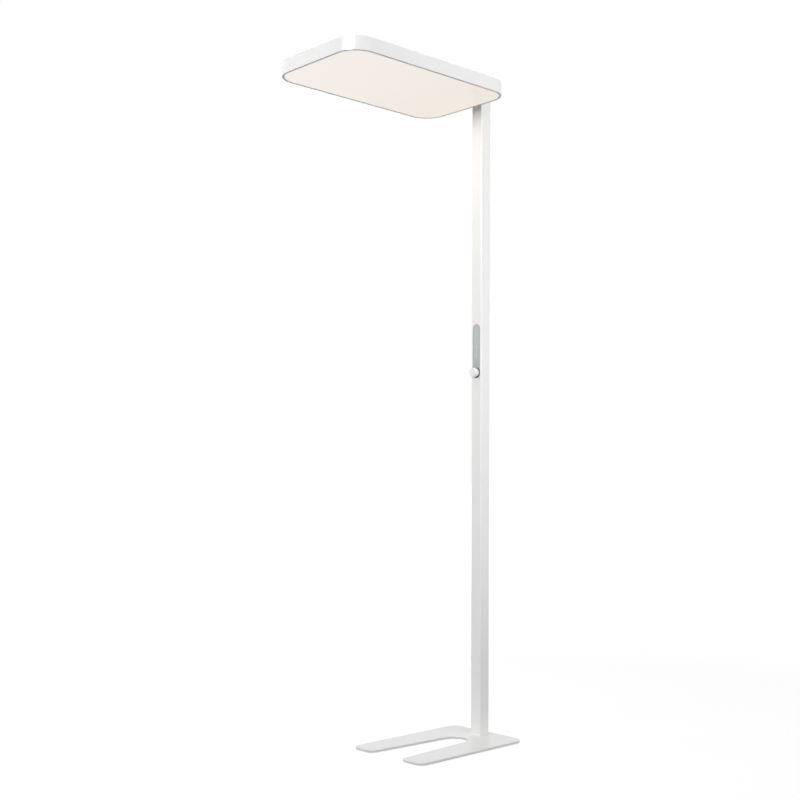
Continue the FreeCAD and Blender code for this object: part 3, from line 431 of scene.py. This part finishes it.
opal = make_glow("opal", base=opaque(0.35, 0.34, 0.33), strength=0.73,
                 rear_colour=opaque(0.92, 0.832, 0.74), front_colour=opaque(0.974, 0.899, 0.841),
                 rear=0.10, front=0.60)
frosted_acrylic = make_glow("frosted_acrylic", base=opaque(0.6, 0.6, 0.59), strength=0.3,
                            rear_colour=opaque(0.98, 0.93, 0.86),
                            front_colour=opaque(1.0, 0.96, 0.90), rear=0.34, front=0.60)
print("glowing plates:", opal.name, frosted_acrylic.name)

# %% [markdown]
# ## Who wears what
# The record names a material slot for each node, so the finishes are handed out from it and no node can
# be forgotten. A CAD node keeps its mesh; only its material changes. The finishes are looked up by the
# slots' names and not by their own, because Blender adds a number to a new material's name where the
# loaded frame already has one of that name.

# %% Dress the CAD nodes
finishes = dict(
    steel_coat=steel_coat, head_coat=head_coat, knob_white=knob_white, panel_grey=panel_grey, opal=opal,
    frosted_acrylic=frosted_acrylic, clear_acrylic=clear_acrylic, dark_rubber=dark_rubber,
    zinc_steel=zinc_steel, bare_aluminium=bare_aluminium, gland_plastic=gland_plastic,
    black_plastic=black_plastic, board=board, led_board=led_board, film_white=film_white, foam=foam,
    lead_sheath=lead_sheath)
slot_of = {part["node"]: part["material_slot"] for part in frame["record"]["subparts"]}
for title, node in nodes.items():
    node.data.materials.clear()
    node.data.materials.append(finishes[slot_of[title]])
nodes["indicator_pipes"].data.materials[0] = lit_acrylic
print(len(nodes), "nodes in", len(set(slot_of.values())), "finishes")

# %% [markdown]
# ## Surfaces from arrays
# The new pieces are all one idea: a small profile carried along a closed outline. The outline knows its
# outward direction at each point, so a profile point with offset d and height h lands at
# `point + direction * d`, at height h. Rounded corners make the difference between a drawing and a
# thing, so both the outline and the profile go through the same corner-rounding formula.

# %% Rounded outlines
def round_outline(corners, radii, steps=16):
    """Points and outward directions along a closed flat outline with rounded corners.

    Two sides leave a corner in unit directions b and a, with an angle of 2h between them. The arc of
    radius r that touches both has its centre on their bisector, r / sin(h) from the corner, and touches
    them r / tan(h) from it. Its points turn evenly from the first touching point to the second. Where
    the outline turns the other way, the outward direction points at the arc's centre instead of away.
    """
    corners = np.asarray(corners, float)
    radii = np.broadcast_to(np.asarray(radii, float), len(corners))[:, None]
    before = np.roll(corners, 1, axis=0) - corners
    after = np.roll(corners, -1, axis=0) - corners
    before /= np.linalg.norm(before, axis=1, keepdims=True)
    after /= np.linalg.norm(after, axis=1, keepdims=True)
    half = np.arccos(np.clip((before * after).sum(axis=1), -1, 1))[:, None] / 2
    bisector = (before + after) / np.linalg.norm(before + after, axis=1, keepdims=True)
    centre = corners + bisector * radii / np.sin(half)
    first = corners + before * radii / np.tan(half) - centre
    last = corners + after * radii / np.tan(half) - centre
    share = np.linspace(0, 1, steps + 1)[None, :, None]
    turn = (math.pi - 2 * half)[:, :, None]
    arm = np.sin((1 - share) * turn) * first[:, None] + np.sin(share * turn) * last[:, None]
    arm /= np.sin(turn)
    outward = np.sign(before[:, 1] * after[:, 0] - before[:, 0] * after[:, 1])[:, None, None]
    points = centre[:, None] + arm
    return points.reshape(-1, 2), (outward * arm / radii[:, :, None]).reshape(-1, 2)


def round_path(points, radii, steps=6):
    """Profile from the first point to the last, with the corners between them rounded."""
    sharp = 1e-7
    path, _ = round_outline(points, [sharp, *radii, sharp], steps)
    return path[steps:-steps]


def rectangle(low_x, high_x, half_width):
    """Corners of a rectangle about the X axis, in turning order."""
    return [(low_x, -half_width), (high_x, -half_width), (high_x, half_width), (low_x, half_width)]


# %% Carry a profile
def carry(outline, profile):
    """Grid of points: point (i, j) is outline point j, moved outwards by offset i, at height i."""
    points, outward = outline
    offset, height = np.asarray(profile, float).T
    plan = points[None] + outward[None] * offset[:, None, None]
    rise = np.broadcast_to(height[:, None, None], (*plan.shape[:2], 1))
    return np.concatenate([plan, rise], axis=2)


def turn_about_x(profile, centre, count=96, ribs=None):
    """Grid of points on a surface of revolution about a line along X through centre.

    Point (i, j) has distance x_i along the line and radius r_i, at angle j. With ribs the radius is
    taken in by a share that depends on both.
    """
    x, radius = np.asarray(profile, float).T
    angle = np.linspace(0, 2 * math.pi, count, endpoint=False)[None, :]
    reach = np.broadcast_to(radius[:, None], (len(radius), count))
    if ribs is not None:
        reach = reach * ribs(x[:, None], angle)
    along = np.broadcast_to(x[:, None], reach.shape)
    return np.stack([along, reach * np.cos(angle), reach * np.sin(angle)], axis=2) + np.asarray(centre)


# %% Grid to mesh
def build(title, grid, finish, body, replaced=(), closed=False, sharp_angle=35.0):
    """Mesh from a grid of points, in metres, whose columns close on themselves.

    With closed its rows close too, as on a ring. Otherwise its first and last row are each filled with
    one flat face.
    """
    rows, columns = grid.shape[:2]
    i = np.arange(rows if closed else rows - 1)[:, None]
    j = np.arange(columns)[None, :]
    low, high, following = i * columns, (i + 1) % rows * columns, (j + 1) % columns
    quads = np.stack([low + j, low + following, high + following, high + j], axis=2).reshape(-1, 4)
    faces = quads.tolist()
    if not closed:
        faces.append(list(range(columns))[::-1])
        faces.append(list(range((rows - 1) * columns, rows * columns)))
    mesh = bpy.data.meshes.new(title)
    mesh.from_pydata(grid.reshape(-1, 3).tolist(), [], faces)
    mesh.shade_smooth()
    mesh.set_sharp_from_angle(angle=math.radians(sharp_angle))
    mesh.materials.append(finish)
    piece = bpy.data.objects.new(title, mesh)
    bpy.context.scene.collection.objects.link(piece)
    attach(piece, body)
    if replaced:
        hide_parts(*replaced)
    print(title, len(mesh.vertices), "points,", len(mesh.polygons), "faces")
    return piece


# %% [markdown]
# ## The bezel
# Looking up at the head, a plain grey border surrounds the light. It is the lower edge of the wall and,
# inside it, a thin ring that holds the diffuser. On the real lamp the ring's lip is rolled over a little
# where it meets the light, which draws a fine line round the plate. The profile is the ring's section.

# %% Bezel
head_low, head_high = (np.array(corner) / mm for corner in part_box("head_frame"))
head_corner_radius = 67.0
rim_width = 7.0
wall_inside = 2.7
skirt_thickness = 1.2
lip_thickness = 1.5
skirt_top = 9.5
head_outline = round_outline(rectangle(head_low[0], head_high[0], head_high[1]), head_corner_radius, 48)
bezel_section, _ = round_outline(
    [(-wall_inside, 0), (-wall_inside, skirt_top), (-wall_inside - skirt_thickness, skirt_top),
     (-wall_inside - skirt_thickness, lip_thickness), (-rim_width, lip_thickness), (-rim_width, 0)],
    [0.25, 0.1, 0.1, 0.2, 0.3, 0.7], 5)
bezel_section[:, 1] += head_low[2]
build("bezel_ring", carry(head_outline, bezel_section) * mm, head_coat, "lamp",
      ["diffuser_bezel"], closed=True)

# %% [markdown]
# ## The diffuser
# A stepped opal plate: its field fills the bezel and its thinner flange lies on the lip. The field sits
# 0.4 mm back from the lip, as glass does in a picture frame.

# %% Diffuser
field_inset = 7.2
flange_inset = 4.1
flange_thickness = 1.5
recess = 0.4
plate_inset = 20.0
diffuser_section = round_path(
    [(-plate_inset, recess), (-field_inset, recess), (-field_inset, lip_thickness),
     (-flange_inset, lip_thickness), (-flange_inset, lip_thickness + flange_thickness),
     (-plate_inset, lip_thickness + flange_thickness)], [0.3, 0.2, 0.2, 0.2])
diffuser_section[:, 1] += head_low[2]
build("opal_plate", carry(head_outline, diffuser_section) * mm, opal, "lamp", ["diffuser"])

# %% [markdown]
# ## The window on top
# Part of the light goes up to the ceiling through a frosted plate in the cover. It is made as the
# diffuser is, on its own outline.

# %% Uplight window
window_low, window_high = (np.array(corner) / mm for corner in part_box("uplight_window"))
window_lap = 8.0
window_flange = 2.0
window_play = 0.2
window_inset = 7.0
window_radius = 8.0
window_section = round_path(
    [(0, window_low[2]), (window_lap, window_low[2]), (window_lap, window_low[2] + window_flange),
     (-window_play, window_low[2] + window_flange), (-window_play, window_high[2]),
     (-window_inset, window_high[2])], [0.3, 0.3, 0.2, 0.35])
window_outline = round_outline(rectangle(window_low[0] + window_lap, window_high[0] - window_lap,
                                         window_high[1] - window_lap), window_radius, 16)
build("frosted_window", carry(window_outline, window_section) * mm, frosted_acrylic,
      "lamp", ["uplight_window"])

# %% [markdown]
# ## The knob
# The knob narrows towards the pole, so that fingers pull it as they turn it. Its face is dished by half
# a millimetre inside a polished chamfer. A cone and a cylinder could stand in for it, but the light
# would stop dead at each edge; here every corner of the profile has its own small radius.

# %% Knob
knob_low, knob_high = (np.array(corner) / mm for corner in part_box("knob_cap"))
knob_centre = np.array([0.0, (knob_low[1] + knob_high[1]) / 2, (knob_low[2] + knob_high[2]) / 2])
rim_radius = (knob_high[1] - knob_low[1]) / 2
root_radius = 12.2
flare = 6.0
chamfer = 0.8
dish = 0.5
dish_slope = 1.6
front_wall = 3.0
hollow_radius = 10.0
hub_radius = 5.5
bore_radius = 3.05
hub_depth = 9.9
middle = 0.2            # radius of the small flat face that closes each end of the profile
back, front = knob_low[0], knob_high[0]
ceiling = front - front_wall
face_radius = rim_radius - chamfer
knob_profile = round_path(
    [(ceiling, middle), (ceiling, bore_radius), (ceiling - hub_depth, bore_radius),
     (ceiling - hub_depth, hub_radius), (ceiling, hub_radius), (ceiling, hollow_radius),
     (back, hollow_radius), (back, root_radius), (back + flare, rim_radius),
     (front - chamfer, rim_radius), (front, face_radius), (front - dish, face_radius - dish_slope),
     (front - dish, middle)],
    [0.2, 0.2, 0.3, 0.5, 0.5, 0.4, 0.5, 4.0, 0.35, 0.35, 1.6], 6)
build("turn_knob", turn_about_x(knob_profile, knob_centre, 128) * mm, knob_white, "knob",
      ["knob_cap"])

# %% Knob seal
# Painted shade: the seal's near-black rubber also stands for the shadow in the gap round the knob's
# root, so this ring is partly a real seal and partly painted shade.
seal_low, seal_high = (np.array(corner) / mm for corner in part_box("knob_seal"))
seal_radius = (seal_high[1] - seal_low[1]) / 2
seal_width = 2.6
seal_section, _ = round_outline(
    [(seal_low[0], seal_radius - seal_width), (seal_high[0], seal_radius - seal_width),
     (seal_high[0], seal_radius), (seal_low[0], seal_radius)], [0.1, 0.28, 0.28, 0.1], 4)
build("seal_and_gap_shade_ring", turn_about_x(seal_section, knob_centre, 96) * mm, dark_rubber, "lamp",
      ["knob_seal"], closed=True)

# %% [markdown]
# ## The gland's dome nut
# The dome nut behind the pole is tightened by hand, so it has grip ribs. They are a wave in the radius
# that fades out towards both ends: a function of the angle and of the distance along the nut.

# %% Gland dome
dome_low, dome_high = (np.array(corner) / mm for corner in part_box("gland_dome"))
dome_centre = np.array([0.0, 0.0, (dome_low[2] + dome_high[2]) / 2])
dome_radius = (dome_high[1] - dome_low[1]) / 2
rib_count = 20
rib_depth = 0.055
smooth_front, smooth_back = 1.0, 2.0    # lengths without ribs at the pole's end and the cord's end
dome_chamfer = 0.3
dome_round = 1.5
mouth_radius, mouth_depth = 4.4, 1.4
inside_radius = 6.1
inside_slope = 0.05
outside_end = 1.6                       # from the cord's end to where its rounding starts


def grip(x, angle):
    """Share of the radius left: a rounded groove between ribs, fading in and out along the nut."""
    ribbed = dome_high[0] - dome_low[0] - smooth_front - smooth_back
    along = np.clip((x - dome_low[0] - smooth_back) / ribbed, 0, 1)
    fade = np.sin(math.pi * along) ** 0.5
    groove = (0.5 - 0.5 * np.cos(rib_count * angle)) ** 2
    return 1 - rib_depth * fade * groove


body_x = np.linspace(dome_high[0] - dome_chamfer, dome_low[0] + outside_end, 14)
dome_outside = [(x, dome_radius) for x in body_x]
dome_mouth = round_path(
    [(body_x[-1], dome_radius), (dome_low[0], dome_radius), (dome_low[0], mouth_radius),
     (dome_low[0] + mouth_depth, mouth_radius)], [dome_round, 0.4], 6)[1:]
dome_profile = np.array(
    [(dome_high[0], inside_radius), (dome_high[0], dome_radius - dome_chamfer), *dome_outside,
     *dome_mouth, (dome_low[0] + mouth_depth + inside_slope, inside_radius)])[::-1]
build("ribbed_dome", turn_about_x(dome_profile, dome_centre, 160, grip) * mm, gland_plastic,
      "lamp", ["gland_dome"], closed=True)

# %% [markdown]
# ## Floor and backdrop
# The photograph's background is plain white, but a white sheet big enough to fill the frame would throw
# so much light back up that the underside of the lamp would lose its shape. So the floor is a mid grey
# that only looks white: Light Path tells whether a ray comes from the camera, a reflection or a
# refraction, and for those the floor adds a glow of its own. The glow is weaker near the lamp, where the
# lights add to it. The lamp's shadow stays.

# %% White for the eye only
def eye_rays(tree):
    """Node that is 1 for camera, glossy and transmission rays and 0 for the rest."""
    path = add(tree, "LightPath")
    some = add(tree, "Math", operation="MAXIMUM")
    any_of = add(tree, "Math", operation="MAXIMUM")
    wire(tree, ((path, "Is Camera Ray"), (some, 0)), ((path, "Is Glossy Ray"), (some, 1)),
         ((some, "Value"), (any_of, 0)), ((path, "Is Transmission Ray"), (any_of, 1)))
    return any_of


floor_reach = 40.0
floor_grey = 0.25
near_lift = 0.82
near_reach, far_reach = 1.5, 6.0
floor_mesh = bpy.data.meshes.new("floor")
floor_mesh.from_pydata([(x, y, 0.0) for x, y in rectangle(-floor_reach, floor_reach, floor_reach)], [],
                       [(0, 1, 2, 3)])
floor = bpy.data.objects.new("floor", floor_mesh)
bpy.context.scene.collection.objects.link(floor)
floor_paint = bpy.data.materials.new("floor_paint")
floor_paint.use_nodes = True
tree = floor_paint.node_tree
shader = tree.nodes["Principled BSDF"]
for socket, value in (("Base Color", opaque(floor_grey, floor_grey, floor_grey)), ("Roughness", 0.9),
                      ("Specular IOR Level", 0.0), ("Emission Color", opaque(1, 1, 1))):
    shader.inputs[socket].default_value = value
place = add(tree, "TexCoord")
distance = add(tree, "VectorMath", operation="LENGTH")
glow = add(tree, "MapRange", From_Min=near_reach, From_Max=far_reach, To_Min=near_lift, To_Max=1.0)
lift = add(tree, "Math", operation="MULTIPLY")
wire(tree, ((place, "Object"), (distance, "Vector")), ((distance, "Value"), (glow, "Value")),
     ((glow, "Result"), (lift, 0)), ((eye_rays(tree), "Value"), (lift, 1)),
     ((lift, "Value"), (shader, "Emission Strength")))
floor_mesh.materials.append(floor_paint)
print("floor reaches", floor_reach, "m and glows from", near_lift, "to 1")

# %% World
sky_level = 0.54
world = bpy.data.worlds.new("studio")
bpy.context.scene.world = world
world.use_nodes = True
tree = world.node_tree
background = tree.nodes["Background"]
brightness = add(tree, "MapRange", To_Min=sky_level, To_Max=1.0)
wire(tree, ((eye_rays(tree), "Value"), (brightness, "Value")),
     ((brightness, "Result"), (background, "Strength")))
background.inputs["Color"].default_value = opaque(1, 1, 1)
print("sky lights at", sky_level)

# %% [markdown]
# ## The lights
# The camera sees two faces of the pole. One round spot lights the front face and two light the side, one
# of them low down, because a spot's beam fades towards the edge of its cone. Two soft boxes fill in from
# the front and from the far side. A third lights nothing by itself and only shows in reflections, where
# it draws the highlight round the head's corner. The last lies just under the diffuser and gives the
# pole the warm light that the lamp throws on it, because the plate's own glow has to stay dim enough to
# keep its colour.

# %% Lights
def make_light(title, kind, place, target, power):
    """Light of a kind and a power in watts that faces a target and isn't itself seen in reflections."""
    data = bpy.data.lights.new(title, kind)
    data.energy = power
    light = bpy.data.objects.new(title, data)
    bpy.context.scene.collection.objects.link(light)
    light.location = place
    light.rotation_mode = "QUATERNION"
    light.rotation_quaternion = (Vector(target) - Vector(place)).to_track_quat("-Z", "Y")
    light.visible_glossy = False
    return light


def soft_box(title, place, target, size, power):
    """Rectangular light of a width and a height."""
    light = make_light(title, "AREA", place, target, power)
    light.data.shape = "RECTANGLE"
    light.data.size, light.data.size_y = size
    return light


def soft_spot(title, place, target, cone, radius, power):
    """Round light whose beam fades evenly from its middle to the edge of its cone, in degrees."""
    light = make_light(title, "SPOT", place, target, power)
    light.data.spot_size = math.radians(cone)
    light.data.spot_blend = 1.0
    light.data.shadow_soft_size = radius
    return light


soft_spot("front_spot", (3.9, -0.6, 2.2), (0.1, 0.0, 1.8), 60.0, 0.8, 132.0)
soft_spot("side_spot", (0.3, 3.9, 2.2), (0.1, 0.0, 1.8), 60.0, 0.8, 326.0)
soft_spot("low_spot", (0.6, 3.4, 1.0), (0.0, 0.0, 0.9), 40.0, 0.5, 84.0)
soft_box("front_box", (4.0, -0.6, 2.2), (0.1, 0.0, 1.2), (2.0, 2.0), 31.0)
soft_box("left_box", (2.4, -3.4, 2.0), (0.3, 0.0, 1.4), (1.6, 2.2), 32.0)
highlight = soft_box("highlight", (3.4, 0.9, 2.95), (0.65, 0.15, 1.93), (1.3, 0.8), 300.0)
highlight.visible_glossy = True
highlight.visible_diffuse = False
head_middle = (head_low[0] + head_high[0]) / 2 * mm
own_light_gap = 0.002
under_plate = head_low[2] * mm - own_light_gap
own_light = soft_box("own_light", (head_middle, 0.0, under_plate), (head_middle, 0.0, 0.0),
                     (0.57, 0.31), 0.63)
# Unturned it already faces down, and its longer side lies along the head.
own_light.rotation_quaternion = (1, 0, 0, 0)
own_light.data.color = (1.0, 0.90, 0.80)
own_light.visible_camera = False
